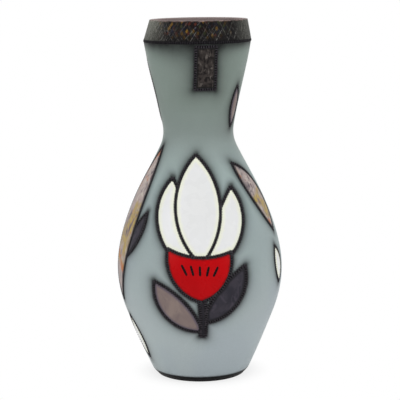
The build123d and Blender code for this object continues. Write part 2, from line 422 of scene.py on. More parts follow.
@dataclass(frozen=True)
class FootSlip(Finish):
    """Near-black slip on the turned foot, rubbed where it stands."""

    black: tuple = (9, 9, 10)
    rubbed: float = 1.4 * MM
    patch: Noise = Noise(420, 4, 0.7, 0.45, 0.65)
    worn: tuple = (74, 66, 62)
    grain: Noise = Noise(1500, 3, 0.6, 0.4, 0.7, 0.0, 0.35)
    grain_tone: tuple = (26, 26, 28)
    dull: tuple = (Noise(500), 0.45, 0.65)
    turning: tuple = (Noise(260, 4, 0.6, stretch=(0.3, 0.3, 6)), 0.12 * MM, 0.6)

    def mix(self, recipe: Recipe) -> None:
        """Rub the slip through near the table and grain it."""
        low = recipe.spread(recipe.height(), 0.0, self.rubbed, 1.0, 0.0)
        worn = recipe.math("MULTIPLY", low, recipe.mottle(self.patch))
        base = recipe.mix(worn, self.black, self.worn)
        color = recipe.mix(self.grain, base, self.grain_tone)
        recipe.surface(color, self.dull, self.turning)


@dataclass(frozen=True)
class CollarSlip(Finish):
    """Dark combed slip with colour rubbed into its cells, a painted sheen at its sides and painted
    highlight on the scratches.
    """

    smears: Noise = Noise(900, 4, 0.7, 0.4, 0.62, 0.0, 0.55)
    smear: tuple = (13, 12, 13)
    breaks: Noise = Noise(520, 3, 0.7, 0.38, 0.60)
    # The scratches' own pale colour; the mesh's factor brightens them towards the sides as painted
    # highlight.
    scratch_and_highlight: tuple = (160, 157, 152)
    dull: tuple = (Noise(700), 0.34, 0.6)
    grit: tuple = (Noise(1600, 3, 0.6), 0.08 * MM, 0.7)

    def mix(self, recipe: Recipe) -> None:
        """Read the cell tints with their painted sheen, and the scratches with their painted
        highlight, from the mesh.
        """
        base = recipe.mix(self.smears, recipe.attribute("tint_and_sheen", "Color"), self.smear)
        lit = recipe.math("MULTIPLY", recipe.attribute("scratch_and_highlight"), recipe.mottle(self.breaks))
        color = recipe.mix(lit, base, self.scratch_and_highlight)
        recipe.surface(color, self.dull, self.grit)


@dataclass(frozen=True)
class LineSlip(Finish):
    """Black-violet line, with a painted highlight greying the top of each tooth."""

    root: tuple = (9, 8, 10)
    # Painted highlight: the grey laid on the tops of the teeth.
    tooth: tuple = (66, 62, 67)
    breaks: Noise = Noise(800, 3, 0.6, 0.3, 0.65, 0.25)
    dull: tuple = (Noise(600), 0.4, 0.6)
    grit: tuple = (Noise(1400, 3, 0.6), 0.06 * MM, 0.6)

    def mix(self, recipe: Recipe) -> None:
        """Paint a grey highlight on the teeth and break the tone with noise."""
        tooth_highlight = recipe.math("MULTIPLY", recipe.attribute("tooth_highlight"), recipe.mottle(self.breaks))
        color = recipe.mix(tooth_highlight, self.root, self.tooth)
        recipe.surface(color, self.dull, self.grit)


@dataclass(frozen=True)
class FieldGlaze(Finish):
    """Smooth glaze in a field, which breaks to another tone at its edge."""

    gloss: float = 0.35
    main: tuple = (233, 233, 233)
    second: tuple = (229, 229, 228)
    edge: tuple = (238, 239, 218)
    fringe: float = 0.95
    fringe_reach: float = 0.68
    cloud: Noise = Noise(22, 4, 0.5, 0.35, 0.65)
    ragged: Noise = Noise(300, out_low=-0.07, out_high=0.07)
    shine: Noise = Noise(90, 3)
    gloss_drift: float = 0.05
    ripple: tuple = (Noise(240, 3, 0.5), 0.05 * MM, 0.5)

    def mix(self, recipe: Recipe) -> None:
        """Cloud the glaze and blend it to its edge tone."""
        base = recipe.mix(self.cloud, self.main, self.second)
        edge = recipe.math("ADD", recipe.attribute("edge"), recipe.mottle(self.ragged))
        dull = (self.shine, self.gloss - self.gloss_drift, self.gloss + self.gloss_drift)
        recipe.surface(self.fringed(recipe, base, edge), dull, self.ripple)

    def fringed(self, recipe: Recipe, base: Socket, edge: Socket) -> Socket:
        """Blend a colour to the edge's tone, near the edge."""
        near = recipe.spread(edge, 0.0, self.fringe_reach, self.fringe, 0.0)
        return recipe.mix(near, base, self.edge)


@dataclass(frozen=True)
class MarbledSlip(FieldGlaze):
    """Slip wiped over a darker one, with soft clouds and short rubbed strokes."""

    cloud_scale: float = 60.0
    stroke: tuple = (150, 136, 128)
    stroke_scale: float = 240.0
    stroke_share: float = 0.35
    stroke_depth: float = 0.20 * MM
    brush: tuple = (1.0, 1.0, 0.45)
    roughening: float = 0.2

    def mix(self, recipe: Recipe) -> None:
        """Cloud the slip and rub strokes into it."""
        cloud = Noise(self.cloud_scale, 5, 0.55, 0.38, 0.62, warp=0.4)
        strokes = Noise(
            self.stroke_scale, 4, 0.6, 0.53, 0.66, 0.0, self.stroke_share, self.brush, 0.8
        )
        base = recipe.mix(strokes, recipe.mix(cloud, self.main, self.second), self.stroke)
        color = self.fringed(recipe, base, recipe.attribute("edge"))
        dull = (cloud, self.gloss, self.gloss + self.roughening)
        recipe.surface(color, dull, (strokes, self.stroke_depth, 0.5))


@dataclass(frozen=True)
class BrushedSlip(FieldGlaze):
    """Ochre slip brushed along the leaf, in streaks of other earths."""

    streaks: Noise = Noise(170, 4, 0.6, stretch=(1.0, 1.0, 0.16), warp=0.7)
    streak_depth: float = 0.22 * MM
    stops: tuple = (0.34, 0.42, 0.48, 0.53, 0.58, 0.64)
    ochres: tuple = (
        (84, 74, 78), (138, 118, 112), (188, 164, 92),
        (172, 146, 78), (146, 128, 124), (214, 204, 178),
    )
    mauves: tuple = (
        (92, 82, 88), (142, 130, 130), (178, 166, 160),
        (166, 142, 140), (208, 200, 188), (120, 98, 106),
    )
    patch: Noise = Noise(34, 2, 0.5, 0.46, 0.55)
    touch: Noise = Noise(60, 3, 0.5, 0.57, 0.64, 0.0, 0.85)
    rust: tuple = (184, 104, 52)
    flecks: Noise = Noise(620, 3, 0.6, 0.60, 0.68, 0.0, 0.6)
    fleck: tuple = (64, 56, 58)
    roughening: float = 0.2

    def mix(self, recipe: Recipe) -> None:
        """Streak the earths along the brush, touch them with rust and fleck them."""
        streak = recipe.noise(self.streaks)
        earths = [recipe.ramp(streak, self.stops, tones) for tones in (self.ochres, self.mauves)]
        base = recipe.mix(self.patch, *earths)
        base = recipe.mix(self.touch, base, self.rust)
        base = recipe.mix(self.flecks, base, self.fleck)
        color = self.fringed(recipe, base, recipe.attribute("edge"))
        dull = (self.streaks, self.gloss, self.gloss + self.roughening)
        recipe.surface(color, dull, (self.streaks, self.streak_depth, 0.6))


BODY_GLAZE = BodyGlaze("grey_green_glaze", Slot.BODY, 0.12)
BARE_CLAY = BareClay("bare_mauve_clay", Slot.BODY)
FOOT_SLIP = FootSlip("black_foot_slip", Slot.FOOT, 0.06)
COLLAR_SLIP = CollarSlip("combed_collar_slip", Slot.COLLAR, 0.06)
LINE_SLIP = LineSlip("rouletted_line_slip", Slot.LINE, 0.04)
WHITE = FieldGlaze("white_glaze", Slot.WHITE, gloss=0.28)
RED = FieldGlaze(
    "red_glaze", Slot.RED, 0.08, 0.3, (192, 5, 12), (178, 2, 9), (120, 4, 10), 0.7, 0.3
)
TAUPE = MarbledSlip(
    "taupe_glaze", Slot.TAUPE, 0.2, 0.35, (138, 122, 115), (126, 110, 106), (92, 82, 94),
    fringe_reach=0.4, stroke=(112, 97, 96), stroke_scale=120.0, stroke_share=0.5,
)
CHARCOAL = MarbledSlip(
    "charcoal_slip", Slot.CHARCOAL, 0.12, 0.4, (58, 54, 62), (46, 44, 52), (28, 26, 31),
    fringe_reach=0.35, cloud_scale=70.0, stroke=(84, 77, 88), stroke_scale=210.0,
)
TAB_SLIP = MarbledSlip(
    "mottled_tab_slip", Slot.TAB, 0.12, 0.35, (58, 52, 49), (20, 15, 15), (11, 10, 10),
    fringe_reach=0.3, cloud_scale=300.0, stroke=(103, 96, 91), stroke_scale=300.0, stroke_share=0.75,
)
OCHRE = BrushedSlip(
    "ochre_slip", Slot.OCHRE, 0.2, 0.4, edge=(52, 46, 50), fringe=0.75, fringe_reach=0.26
)


def clear() -> None:
    """Leave edit mode and let go of everything."""
    if bpy.context.mode != "OBJECT":
        bpy.ops.object.mode_set(mode="OBJECT")
    bpy.ops.object.select_all(action="DESELECT")


class Clay:
    """One piece in the making, with the steps that every sub-assembly shares."""

    def __init__(self, body: bpy.types.Object) -> None:
        """Take up an object."""
        self.body = body

    @classmethod
    def drawn(cls, name: str, points: Array | list, edges: list, faces: list) -> "Clay":
        """Make a piece from points.

        Args:
            name: The piece's name.
            points: The vertices, in metres.
            edges: Pairs of vertex numbers.
            faces: Tuples of vertex numbers.

        Returns:
            The new piece, linked to the scene.
        """
        data = bpy.data.meshes.new(name)
        data.from_pydata(np.asarray(points).tolist(), edges, faces)
        data.update()
        body = bpy.data.objects.new(name, data)
        bpy.context.scene.collection.objects.link(body)
        return cls(body)

    @classmethod
    def spin(cls, name: str, profile: Section, steps: int, closed: bool = True) -> "Clay":
        """Throw a section round the vase's axis.

        Args:
            name: The piece's name.
            profile: Radius and height of each point, in metres.
            steps: Facets round the axis.
            closed: Whether the last point joins the first.

        Returns:
            The closed solid of revolution.
        """
        count = len(profile)
        edges = [(i, (i + 1) % count) for i in range(count if closed else count - 1)]
        piece = cls.drawn(name, [(radius, 0.0, height) for radius, height in profile], edges, [])
        with piece.opened():
            bpy.ops.mesh.spin(
                steps=steps, angle=math.tau, center=(0, 0, 0), axis=(0, 0, 1), use_auto_merge=True
            )
        piece.outward()
        return piece

    def take(self) -> None:
        """Make the piece the only one selected."""
        clear()
        self.body.select_set(True)
        bpy.context.view_layer.objects.active = self.body

    @contextmanager
    def opened(self) -> Iterator[None]:
        """Hold the piece in edit mode, with all of it selected at the start."""
        self.take()
        bpy.ops.object.mode_set(mode="EDIT")
        bpy.ops.mesh.select_all(action="SELECT")
        yield
        bpy.ops.object.mode_set(mode="OBJECT")

    def modify(self, kind: str, **settings: object) -> None:
        """Add a modifier, set it and apply it.

        Args:
            kind: The modifier's type.
            **settings: Its settings.
        """
        self.take()
        bpy.ops.object.modifier_add(type=kind)
        modifier = self.body.modifiers[-1]
        for key, value in settings.items():
            setattr(modifier, key, value)
        bpy.ops.object.modifier_apply(modifier=modifier.name)

    def outward(self) -> None:
        """Merge doubles and turn every face outwards."""
        with self.opened():
            bpy.ops.mesh.remove_doubles(threshold=WELD)
            bpy.ops.mesh.normals_make_consistent(inside=False)

    @property
    def points(self) -> Array:
        """Every vertex, as a row of x, y and z."""
        flat = np.zeros(len(self.body.data.vertices) * 3)
        self.body.data.vertices.foreach_get("co", flat)
        return flat.reshape(-1, 3)

    def move(self, points: Array) -> None:
        """Put the vertices at new places."""
        self.body.data.vertices.foreach_set("co", np.asarray(points, float).ravel())
        self.body.data.update()

    def mark(self, name: str, values: Array) -> None:
        """Store one factor for each vertex in an attribute."""
        layer = self.body.data.attributes.new(name, "FLOAT", "POINT")
        layer.data.foreach_set("value", np.asarray(values, np.float32))

    def dress(
        self, finish: Finish, *nodes: str, sharp: float = 40.0,
        bare: Callable[[Vector], bool] | None = None,
    ) -> None:
        """Smooth the piece, dress it and tie it to the frame.

        Args:
            finish: Its finish.
            *nodes: The CAD nodes that it replaces.
            sharp: The angle past which an edge stays sharp, in degrees.
            bare: Says from the middle of a face whether it is bare clay.
        """
        self.take()
        bpy.ops.object.shade_smooth_by_angle(angle=math.radians(sharp))
        clear()
        piece = self.body
        piece.data.materials.append(finish.make())
        if bare:
            piece.data.materials.append(BARE_CLAY.make())
            for face in piece.data.polygons:
                face.material_index = int(bare(face.center))
        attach(piece, BODY)
        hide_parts(*nodes)
        counts = len(piece.data.vertices), len(piece.data.polygons)
        log.info("%s: %d vertices, %d faces", piece.name, *counts)


@dataclass
class Silhouette:
    """The outer face of the thrown wall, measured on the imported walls."""

    walls: list
    low: float
    high: float
    step: float = 1.3 * MM
    around: int = 96
    far: float = 0.5
    smoothings: int = 2

    def __post_init__(self) -> None:
        """Cast rays at the walls from all round and keep the largest radius at each height."""
        graph = bpy.context.evaluated_depsgraph_get()
        trees = [BVHTree.FromObject(wall, graph) for wall in self.walls]
        turns = np.linspace(0, math.tau, self.around, endpoint=False)
        ways = [Vector((math.cos(turn), math.sin(turn), 0)) for turn in turns]
        self.heights = np.linspace(self.low, self.high, round((self.high - self.low) / self.step) + 1)
        radii = np.zeros(len(self.heights))
        for row, height in enumerate(self.heights):
            for way in ways:
                start = way * self.far + Vector((0, 0, height))
                hits = [tree.ray_cast(start, -way)[0] for tree in trees]
                radii[row] = max([radii[row], *(math.hypot(hit.x, hit.y) for hit in hits if hit)])
        for _ in range(self.smoothings):
            radii[1:-1] = (radii[:-2] + 2 * radii[1:-1] + radii[2:]) / 4
        self.radii = radii
        self.slopes = np.gradient(radii, self.heights)

    def radius(self, height: Array | float) -> Array:
        """Give the radius at a height."""
        return np.interp(height, self.heights, self.radii)

    def slope(self, height: Array | float) -> Array:
        """Give the change of radius with height."""
        return np.interp(height, self.heights, self.slopes)

    def offset(self, lift: float) -> Section:
        """Give the profile moved out square to itself.

        Args:
            lift: How far, inwards if below zero.

        Returns:
            Radius and height of each point.
        """
        lean = np.hypot(1, self.slopes)
        radii = self.radii + lift / lean
        heights = self.heights - lift * self.slopes / lean
        return list(zip(radii.tolist(), heights.tolist()))


@dataclass(frozen=True)
class Panel:
    """The upright plane that one ornament is drawn on, as its maker would chalk it out."""

    azimuth: float
    half_width: float
    foot: float
    height: float

    @property
    def across(self) -> Array:
        """The panel's direction to the viewer's right."""
        turn = math.radians(self.azimuth)
        return np.array([math.cos(turn), math.sin(turn), 0.0])

    @property
    def outward(self) -> Array:
        """The panel's direction out of the vase."""
        turn = math.radians(self.azimuth)
        return np.array([math.sin(turn), -math.cos(turn), 0.0])

    def point(self, shares: tuple[float, float]) -> Array:
        """Give a point of the panel from shares of its half width and height."""
        return np.array([shares[0] * self.half_width, self.foot + shares[1] * self.height])

    def wrap(self, wall: Silhouette, drawn: Array, lift: Array | float) -> Array:
        """Lay points of the panel on the wall.

        Args:
            wall: The wall's profile.
            drawn: Points across and up the panel.
            lift: How far each stands out from the wall.

        Returns:
            The points in space.
        """
        x, z = drawn.T
        radius = wall.radius(z)
        depth = np.sqrt(np.maximum(radius**2 - x**2, 0))
        spot = x[:, None] * self.across + depth[:, None] * self.outward
        slope = wall.slope(z)
        lean = np.hypot(1, slope)
        normal = spot / radius[:, None] / lean[:, None]
        normal[:, 2] = -slope / lean
        spot[:, 2] = z
        return spot + normal * np.broadcast_to(lift, x.shape)[:, None]


@dataclass(frozen=True)
class Shape:
    """One drawn shape: its name, its corners anticlockwise and how each side swells, as shares."""

    node: str
    corners: tuple
    bulges: tuple
    finish: Finish

    def sides(self, panel: Panel, step: float) -> list[Array]:
        """Draw each side as an arc of evenly spaced points.

        Args:
            panel: The panel that the shape is drawn on.
            step: The spacing of the points.

        Returns:
            The points of each side, both ends included.
        """
        drawn = []
        for start, end, bulge in zip(self.corners, self.corners[1:] + self.corners[:1], self.bulges):
            a, b = panel.point(start), panel.point(end)
            chord = b - a
            length = float(np.hypot(*chord))
            if bulge == 0:
                count = max(2, round(length / step) + 1)
                drawn.append(a + chord * np.linspace(0, 1, count)[:, None])
                continue
            right = np.array([chord[1], -chord[0]]) / length
            sagitta = bulge * length
            radius = (length**2 / 4 + sagitta**2) / (2 * abs(sagitta))
            half = 2 * math.atan(2 * abs(sagitta) / length)
            count = max(3, round(2 * half * radius / step) + 1)
            turn = np.linspace(-half, half, count)
            along = 0.5 + np.sin(turn) * radius / length
            out = math.copysign(1, sagitta) * (np.cos(turn) - math.cos(half)) * radius
            drawn.append(a + chord * along[:, None] + right * out[:, None])
        return drawn

    def outline(self, panel: Panel, step: float) -> Array:
        """Give the whole outline as one ring of points."""
        return np.concatenate([side[:-1] for side in self.sides(panel, step)])


@dataclass
class RoulettedLine:
    """A dark raised line, toothed by a small wheel: one tooth is modelled, repeated and bent."""

    name: str
    node: str
    wall: Silhouette
    half_width: float = 1.60 * MM
    height: float = 0.60 * MM
    root: float = 0.90 * MM
    pitch: float = 2.0 * MM
    cap: float = 1.20 * MM
    waist_share: float = 0.54
    dip_share: float = 0.45
    highlight_share: float = 1.0
    highlight_phase: tuple = (0.15, 0.36)
    highlight_rise: tuple = (0.2, 0.9)
    least_taper: float = 0.03
    buried: float = -0.01
    section: tuple = (
        (-1, -1), (-1, 0), (-0.86, 0.55), (-0.5, 0.92), (0, 1), (0.5, 0.92), (0.86, 0.55),
        (1, 0), (1, -1),
    )
    stations: tuple = ((0.17, 0.0), (0.34, 1.0), (0.50, 1.0), (0.66, 1.0), (0.83, 0.0), (1.0, 0.0))
    pieces: list = field(default_factory=list)

    def tooth(self) -> Clay:
        """Model one tooth, 1 long in X and 1 in half width and height, open at both ends.

        Returns:
            The tooth, between two narrow necks.
        """
        ring = [(0.0, across * self.waist_share, up * self.dip_share) for across, up in self.section]
        edges = [(i, (i + 1) % len(ring)) for i in range(len(ring))]
        piece = Clay.drawn("tooth", ring, edges, [])
        before, wide, tall = 0.0, self.waist_share, self.dip_share
        with piece.opened():
            for share, swell in self.stations:
                bpy.ops.mesh.extrude_region_move(
                    TRANSFORM_OT_translate={"value": (share - before, 0, 0)}
                )
                next_wide = self.waist_share + (1 - self.waist_share) * swell
                next_tall = self.dip_share + (1 - self.dip_share) * swell
                bpy.ops.transform.resize(
                    value=(1, next_wide / wide, next_tall / tall), center_override=(share, 0, 0)
                )
                before, wide, tall = share, next_wide, next_tall
        return piece

    def add(self, panel: Panel, path: Array) -> None:
        """Repeat the tooth along one path, close its ends and lay it on the wall.

        Args:
            panel: The panel that the path is drawn on.
            path: Evenly spaced points.
        """
        run = np.concatenate([[0], np.cumsum(np.hypot(*np.diff(path, axis=0).T))])
        length = float(run[-1])
        count = max(2, round(length / self.pitch))
        piece = self.tooth()
        piece.modify(
            "ARRAY", count=count, use_relative_offset=False, use_constant_offset=True,
            constant_offset_displace=(1, 0, 0), use_merge_vertices=True, merge_threshold=0.001,
        )
        with piece.opened():
            bpy.ops.mesh.fill_holes(sides=0)
        turns, across, up = piece.points.T
        along = turns / count * length
        tangent = np.gradient(path, axis=0)
        tangent /= np.hypot(*tangent.T)[:, None]
        spot, way = (
            np.column_stack([np.interp(along, run, rows[:, axis]) for axis in (0, 1)])
            for rows in (path, tangent)
        )
        end = np.clip(np.minimum(along, length - along) / self.cap, 0, 1)
        taper = np.sqrt(np.clip(1 - (1 - end) ** 2, self.least_taper, 1))
        side = np.column_stack([-way[:, 1], way[:, 0]])
        drawn = spot + side * (across * self.half_width * taper)[:, None]
        lift = np.where(up < self.buried, -self.root, up * self.height * taper)
        piece.move(panel.wrap(self.wall, drawn, lift))
        # Painted highlight: the top of each tooth is marked to be greyed, as if it caught the light.
        phase = 0.5 - np.abs(turns % 1 - 0.5)
        tooth_highlight = smooth_step(phase, *self.highlight_phase) * smooth_step(up, *self.highlight_rise)
        piece.mark("tooth_highlight", self.highlight_share * tooth_highlight)
        self.pieces.append(piece)

    def build(self) -> None:
        """Join the stretches into one line and dress it."""
        clear()
        for piece in self.pieces:
            piece.body.select_set(True)
        line = self.pieces[0]
        bpy.context.view_layer.objects.active = line.body
        bpy.ops.object.join()
        line.body.name = line.body.data.name = self.name
        line.outward()
        line.dress(LINE_SLIP, self.node, sharp=75.0)


@dataclass
class GlazeField:
    """One field of glaze: a slab cut to its outline and laid on the wall."""

    shape: Shape
    panel: Panel
    covers: tuple
    wall: Silhouette
    line_width: float
    grain: float = 0.9 * MM
    proud: float = 0.30 * MM
    dome: float = 0.12 * MM
    dome_reach: tuple = (1 * MM, 6 * MM)
    bank: tuple = (0.45, 0.80)
    tuck: float = 0.25 * MM
    root: float = 0.90 * MM
    margin: float = 2.0 * MM
    border_step: float = 0.6 * MM
    fringe: float = 6.0 * MM
    blank: float = 20.0 * MM

    def cut(self, piece: Clay, outline: Array, way: str) -> None:
        """Cut the slab with a thick blade of an outline.

        Args:
            piece: The slab.
            outline: The outline's points in order.
            way: INTERSECT or DIFFERENCE.
        """
        flat = np.column_stack([outline, np.full(len(outline), -self.blank)])
        blade = Clay.drawn("blade", flat, [], [tuple(range(len(outline)))])
        with blade.opened():
            bpy.ops.mesh.extrude_region_move(
                TRANSFORM_OT_translate={"value": (0, 0, 2 * self.blank)}
            )
            bpy.ops.mesh.select_all(action="SELECT")
            bpy.ops.mesh.normals_make_consistent(inside=False)
        piece.modify("BOOLEAN", object=blade.body, operation=way, solver="EXACT")
        bpy.data.objects.remove(blade.body, do_unlink=True)

    def slab(self, outline: Array) -> Clay:
        """Roll out a flat slab a little larger than an outline.

        Args:
            outline: The outline's points.

        Returns:
            A closed slab with an even grid on both faces.
        """
        low = outline.min(axis=0) - self.margin
        high = outline.max(axis=0) + self.margin
        columns, rows = np.maximum(2, np.round((high - low) / self.grain)).astype(int).tolist()
        clear()
        bpy.ops.mesh.primitive_grid_add(x_subdivisions=columns, y_subdivisions=rows, size=1)
        piece = Clay(bpy.context.active_object)
        piece.body.name = piece.body.data.name = f"{self.shape.node}_field"
        with piece.opened():
            bpy.ops.transform.resize(value=(*(high - low).tolist(), 1))
            bpy.ops.transform.translate(value=(*((low + high) / 2).tolist(), 0))
        piece.modify("SOLIDIFY", thickness=self.proud + self.root, offset=-1)
        return piece

    def build(self) -> None:
        """Cut the slab, lay it on the wall and dress it."""
        outline = self.shape.outline(self.panel, self.grain)
        piece = self.slab(outline)
        self.cut(piece, outline, "INTERSECT")
        for cover in self.covers:
            self.cut(piece, cover.outline(self.panel, self.grain), "DIFFERENCE")
        spots = piece.points
        drawn = spots[:, :2]
        borders = [part.outline(self.panel, self.border_step) for part in (self.shape, *self.covers)]
        gap = distance(drawn, np.concatenate(borders))
        top = spots[:, 2] > -self.proud
        low, full = (share * self.line_width for share in self.bank)
        rise = smooth_step(gap, low, full) * (self.proud + self.tuck) - self.tuck
        swell = self.dome * smooth_step(gap, *self.dome_reach)
        piece.move(self.panel.wrap(self.wall, drawn, np.where(top, rise + swell, -self.root)))
        piece.mark("edge", np.clip((gap - full) / self.fringe, 0, 1))
        piece.outward()
        piece.dress(self.shape.finish, self.shape.node)


@dataclass
class Ornament:
    """One ornament: its fields, the lines round and between them, and any marks."""

    line: str
    panel: Panel
    wall: Silhouette
    shapes: tuple
    marks: tuple = ()
    half_width: float = 1.60 * MM
    step: float = 0.325 * MM
    overlap: float = 0.9 * MM
    shortest: float = 2.0 * MM
    spread: float = 3.1 * MM
    mark_width: float = 1.35 * MM
    mark_cap: float = 3.0 * MM
    mark_highlight: float = 0.25
    cover_step: float = 1.0 * MM
    shade_core: float = 0.8
    shade_reach: float = 4.0

    def visible(self) -> list[Array]:
        """Give each stretch of line that no earlier shape covers.

        Returns:
            The stretches, run on a little under what covers them.
        """
        runs = []
        extra = round(self.overlap / self.step)
        for number, shape in enumerate(self.shapes):
            covers = [other.outline(self.panel, self.cover_step) for other in self.shapes[:number]]
            for side in shape.sides(self.panel, self.step):
                clear = np.ones(len(side), bool)
                for cover in covers:
                    clear &= ~inside(side, cover)
                edges = np.flatnonzero(np.diff(np.concatenate([[0], clear.astype(int), [0]])))
                for start, stop in zip(edges[::2], edges[1::2]):
                    start, stop = max(0, start - extra), min(len(side), stop + extra)
                    if (stop - start) * self.step > self.shortest:
                        runs.append(self.reach(side[start:stop]))
        return runs

    def reach(self, path: Array) -> Array:
        """Run a path on a little at both ends, so that its caps meet its neighbours'."""
        extra = np.arange(1, 3)[:, None]
        return np.concatenate([
            path[0] + (path[0] - path[1]) * extra[::-1], path, path[-1] + (path[-1] - path[-2]) * extra
        ])

    def build(self) -> None:
        """Make the line, then the fields, then the marks pressed into one of them."""
        line = RoulettedLine(f"rouletted_{self.line}", self.line, self.wall, self.half_width)
        for run in self.visible():
            line.add(self.panel, run)
        line.build()
        for number, shape in enumerate(self.shapes):
            covers = self.shapes[:number]
            GlazeField(shape, self.panel, covers, self.wall, self.half_width).build()
        if not self.marks:
            return
        name, strokes = self.marks
        mark = RoulettedLine(
            f"pressed_{name}", name, self.wall, self.mark_width, cap=self.mark_cap,
            waist_share=1.0, dip_share=1.0, highlight_share=self.mark_highlight,
        )
        for start, end in strokes:
            count = max(8, round(float(np.hypot(*(end - start))) / self.step))
            mark.add(self.panel, start + (end - start) * np.linspace(0, 1, count)[:, None])
        mark.build()

    def shade(self, points: Array) -> Array:
        """Airbrush the wall round the lines.

        Args:
            points: Points of the wall in space.

        Returns:
            The depth of shade at each point.
        """
        lines = np.concatenate([run[::3] for run in self.visible()])
        drawn = np.stack([points @ self.panel.across, points[:, 2]], axis=1)
        reach = self.shade_reach * self.spread
        near = (drawn > lines.min(axis=0) - reach).all(axis=1)
        near &= (drawn < lines.max(axis=0) + reach).all(axis=1)
        near &= points @ self.panel.outward > 0
        shade = np.zeros(len(points))
        gap = np.maximum(distance(drawn[near], lines) - self.shade_core * self.half_width, 0)
        shade[near] = np.exp(-gap / self.spread)
        return shade


@dataclass
class ThrownWall:
    """Belly and neck in one glaze, spun from the foot to the lip."""

    wall: Silhouette
    ornaments: list
    ledge: float
    seat_low: float
    seat_high: float
    top: float
    lean: float
    thickness: float
    lip_width: float = 2.6 * MM
    lip_round: float = 1.2 * MM
    lip_chamfer: float = 0.3 * MM
    seat_rise: float = 2.0 * MM
    foot_toe: float = 2.0 * MM
    skin: float = 1.0 * MM
    steps: int = 256
    shade_depth: float = 0.92
    # Darkening under the collar: partly airbrushed slip, partly painted shade under the collar's
    # overhang.
    collar_shade: float = 0.98
    collar_reach: float = 3.6 * MM
    collar_bloom: float = 8.6 * MM
    collar_fall: float = 1.6
    bloom_turn: float = -0.18
    bloom_width: float = 0.85
    # Painted shade in the crease where the wall meets the foot.
    foot_shade: float = 0.8
    foot_reach: float = 0.5 * MM

    def profile(self) -> Section:
        """Give the wall's closed section, up the outside and down the inside.

        Returns:
            Radius and height of each point.
        """
        outer = self.wall.offset(0.0)
        inner = self.wall.offset(-self.thickness)[::3]
        inner_lip = self.seat_high - self.lip_width
        brow = self.top - self.lip_round
        rise = [
            (self.seat_low, self.ledge),
            (self.seat_low, self.ledge + self.seat_rise),
            (self.seat_high, self.top - self.lip_round / 3),
            (self.seat_high - self.lip_chamfer, self.top),
        ]
        curve = [
            (inner_lip + self.lip_round * (1 - math.sin(turn)), brow + self.lip_round * math.cos(turn))
            for turn in np.linspace(0, math.pi / 2, 6)
        ]
        throat = [
            (inner_lip + share * (inner[-1][0] - inner_lip), brow + share * (inner[-1][1] - brow))
            for share in (0.2, 0.4, 0.6, 0.8)
        ]
        toe = inner[0][0] - self.foot_toe
        base = [(toe, inner[0][1]), (toe, outer[0][1])]
        return outer + rise + curve + throat + inner[::-1] + base

    def build(self) -> None:
        """Spin, shade and dress the wall."""
        piece = Clay.spin("glazed_wall", self.profile(), self.steps)
        points = piece.points
        turn, radii = polar(points)
        height = points[:, 2]
        shade = np.max([ornament.shade(points) for ornament in self.ornaments], axis=0)
        # Painted shade under the collar, mixed with airbrushed slip, reaching deeper a little left of
        # the front.
        bloom = np.exp(-((turn - self.bloom_turn) / self.bloom_width) ** 2)
        reach = self.collar_reach + self.collar_bloom * bloom
        below = np.maximum(self.ledge - height, 0) / reach
        collar = self.collar_shade * np.exp(-below**self.collar_fall)
        # Painted shade just above the foot, where the wall meets it.
        above = np.maximum(height - self.wall.heights[0], 0)
        foot = self.foot_shade * np.exp(-above / self.foot_reach)
        halo = 1 - (1 - shade * self.shade_depth) * (1 - collar) * (1 - foot)
        piece.mark("halo", np.where(radii > self.wall.radius(height) - self.skin, halo, 0))
        piece.move(askew(points, self.ledge, self.top, self.lean))

        def bare(spot: Vector) -> bool:
            """Say whether a face lies inside the vase or over the ledge."""
            middle = float(self.wall.radius(spot.z)) - self.thickness / 2
            return math.hypot(spot.x, spot.y) <= middle or spot.z >= self.ledge + self.skin

        piece.dress(BODY_GLAZE, "belly_wall", "neck_wall", sharp=60.0, bare=bare)


@dataclass
class Foot:
    """The turned foot with its dark band and the floor inside."""

    top: float
    band_radius: float
    band_height: float
    floor_radius: float
    flare: float = 4.0 * MM
    belly: float = 0.25 * MM
    ring: float = 7.0 * MM
    recess: float = 1.8 * MM
    recess_edge: tuple = ((-1.0 * MM, 1.8 * MM), (0.0, 1.0 * MM), (0.3 * MM, 0.25 * MM))
    edge: float = 0.6 * MM
    bead: float = 0.1 * MM
    dish: float = 0.5 * MM
    seam: float = 0.2 * MM
    steps: int = 192

    def build(self) -> None:
        """Turn the foot and dress it."""
        foot_radius = self.band_radius - self.flare
        inner = foot_radius - self.ring
        rise = [
            (
                foot_radius + self.flare * share + self.belly * math.sin(math.pi * share),
                self.edge + (self.band_height - self.edge) * share,
            )
            for share in np.linspace(0, 1, 8)
        ]
        profile = [
            (0.0, self.recess),
            (inner * 0.5, self.recess * 0.9),
            *((inner + out, up) for out, up in self.recess_edge),
            (inner + self.edge, 0.0),
            (inner + self.ring / 2, 0.0),
            (foot_radius - self.edge, 0.0),
            (foot_radius - self.bead, self.edge * 0.4),
            *rise,
            (self.floor_radius, self.band_height),
            (self.floor_radius, self.top),
            (self.floor_radius * 0.6, self.top - self.dish * 0.6),
            (0.0, self.top - self.dish),
        ]
        piece = Clay.spin("turned_foot", profile, self.steps, closed=False)
        floor = self.band_height - self.seam
        piece.dress(FOOT_SLIP, "foot_slab", sharp=35.0, bare=lambda spot: spot.z > floor)


